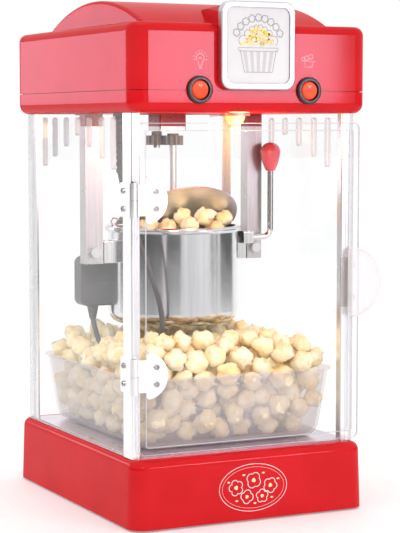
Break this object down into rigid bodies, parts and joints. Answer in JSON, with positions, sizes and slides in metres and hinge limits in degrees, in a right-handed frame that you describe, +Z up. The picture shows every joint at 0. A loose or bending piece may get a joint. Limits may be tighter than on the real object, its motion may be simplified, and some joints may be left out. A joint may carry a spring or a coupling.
{
  "type": "popcorn maker",
  "caption": "Counter-top popcorn machine: red base and domed header, clear cabinet with hinged door, tilting stirred kettle on hangers, popcorn tray.",
  "frame": {"origin": "on the table, under the middle of the base, 2 mm below the underside plate that the feet hold up", "axes": "+Z up, -Y the front with the door and switches, +X the side of the door's handle"},
  "size_m": [0.2565, 0.302, 0.473],
  "materials": {
    "red_paint": "moulded shell with a glossy metallic red lacquer",
    "clear_panel": "clear polished sheet",
    "frame_white": "satin white anodised",
    "stainless": "polished stainless",
    "sheet_steel": "brushed sheet",
    "black_plastic": "moulded black",
    "grey_plastic": "moulded nylon",
    "rocker_red": "translucent lit red",
    "knob_red": "moulded red",
    "lamp_glass": "warm glowing bulb",
    "rubber": "soft black",
    "sign_silver": "satin silver",
    "sign_face": "white enamel with a printed popcorn tub",
    "handle_clear": "frosted clear acrylic",
    "tray_frosted": "frosted clear tub",
    "cord_black": "dark grey flex"
  },
  "bodies": {
    "cabinet": {"base_shell": "red_paint", "bottom_plate": "sheet_steel", "rubber_feet": "rubber", "floor_plate": "stainless", "rear_panel": "clear_panel", "side_panel_left": "clear_panel", "side_panel_right": "clear_panel", "header_frame": "red_paint", "header_ceiling": "sheet_steel", "header_cover": "red_paint", "dome_cover": "red_paint", "sign_boss": "red_paint", "sign_frame": "sign_silver", "sign_panel": "sign_face", "switch_bezels": "black_plastic", "lamp_holder": "sheet_steel", "lamp_bulb": "lamp_glass", "gearbox": "stainless", "motor": "sheet_steel", "hanger_left": "sheet_steel", "hanger_right": "sheet_steel", "thumb_screws": "stainless", "kettle_lead": "cord_black", "lead_boot": "cord_black", "mains_gland": "black_plastic", "door_catch": "sheet_steel", "hinge_post_leaves": "frame_white", "hinge_pins": "stainless", "cabinet_screws": "stainless", "post_front_left": "frame_white", "post_front_right": "frame_white", "post_rear_left": "frame_white", "post_rear_right": "frame_white"},
    "door": {"door_panel": "clear_panel", "door_handle": "handle_clear", "hinge_door_leaves": "frame_white", "door_screws": "stainless"},
    "kettle": {"kettle_shell": "stainless", "kettle_pan": "stainless", "heating_element": "sheet_steel", "thermostat": "grey_plastic", "lid_rear": "stainless", "lid_hinge_pins": "stainless", "stir_bush": "stainless", "kettle_loop": "stainless", "kettle_bracket_left": "stainless", "kettle_bracket_right": "stainless", "handle_rod": "stainless", "handle_knob": "knob_red", "connector_housing": "black_plastic"},
    "lid": {"lid_flap": "stainless"},
    "stirrer": {"stir_gear": "grey_plastic", "stir_rod": "stainless", "stirrer_blade": "stainless"},
    "drive": {"drive_gear": "grey_plastic", "drive_gear_screw": "stainless"},
    "light_switch": {"rocker_left": "rocker_red"},
    "kettle_switch": {"rocker_right": "rocker_red"},
    "tray": {"popcorn_tray": "tray_frosted"}
  },
  "joints": [
    {"name": "door_hinge", "type": "hinge", "parent": "cabinet", "child": "door", "pos_m": [-0.1135, -0.1325, 0.2], "axis": [0, 0, -1], "range_deg": [0, 110]},
    {"name": "kettle_tilt", "type": "hinge", "parent": "cabinet", "child": "kettle", "pos_m": [-0.005, 0.015, 0.237], "axis": [1, 0, 0], "range_deg": [0, 85], "deforming": ["kettle_lead"]},
    {"name": "lid_hinge", "type": "hinge", "parent": "kettle", "child": "lid", "pos_m": [-0.005, 0.015, 0.26355], "axis": [-1, 0, 0], "range_deg": [-36, 40]},
    {"name": "drive_spin", "type": "hinge", "parent": "cabinet", "child": "drive", "pos_m": [-0.0158, 0.0294, 0.343], "axis": [0, 0, 1], "continuous": true},
    {"name": "stir_spin", "type": "hinge", "parent": "kettle", "child": "stirrer", "pos_m": [-0.005, 0.015, 0.343], "axis": [0, 0, 1], "continuous": true},
    {"name": "light_rocker", "type": "hinge", "parent": "cabinet", "child": "light_switch", "pos_m": [-0.055, -0.141, 0.3887], "axis": [1, 0, 0], "range_deg": [0, 20]},
    {"name": "kettle_rocker", "type": "hinge", "parent": "cabinet", "child": "kettle_switch", "pos_m": [0.055, -0.141, 0.3887], "axis": [1, 0, 0], "range_deg": [0, 20]},
    {"name": "tray_slide", "type": "slide", "parent": "cabinet", "child": "tray", "axis": [0, -1, 0], "range_m": [0, 0.008]}
  ],
  "couplings": [
    {"joint": "drive_spin", "follows": "stir_spin", "ratio": -1}
  ]
}
